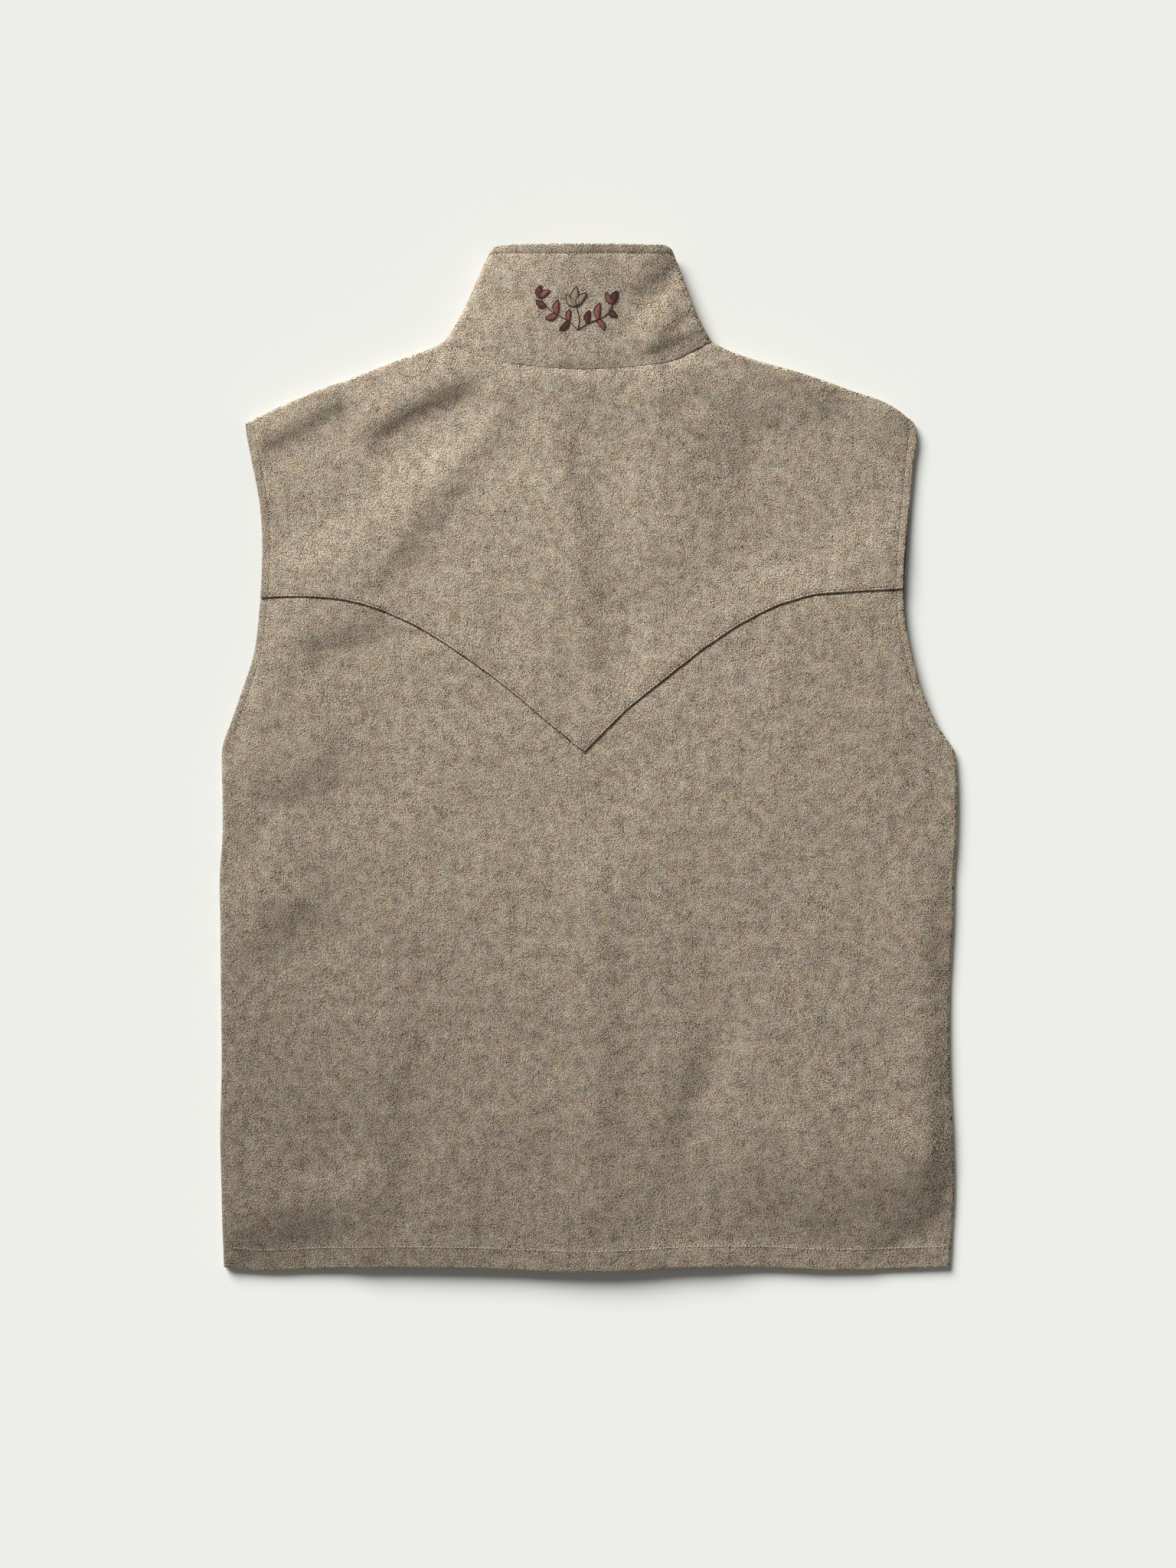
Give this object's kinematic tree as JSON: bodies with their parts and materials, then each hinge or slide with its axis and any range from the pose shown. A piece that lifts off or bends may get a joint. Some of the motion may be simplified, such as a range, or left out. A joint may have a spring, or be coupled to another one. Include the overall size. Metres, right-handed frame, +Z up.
{
  "type": "wool vest",
  "caption": "Melange wool vest with a standing collar and a pointed back yoke, lying face down with its back up.",
  "frame": {"origin": "on the surface that the vest lies on, under the middle of its outline", "axes": "+X to the right across the back, +Y from the hem to the collar, +Z up out of the back"},
  "size_m": [0.5614, 0.7804, 0.025],
  "materials": {
    "wool": "matte melange wool with a short nap",
    "lining": "smooth dark lining",
    "thread": "matte sewing and embroidery thread"
  },
  "bodies": {
    "root": {"back_body": "wool", "back_yoke": "wool", "collar": "wool", "front_left": "wool", "front_right": "wool", "armhole_lining_right": "lining"}
  },
  "joints": []
}
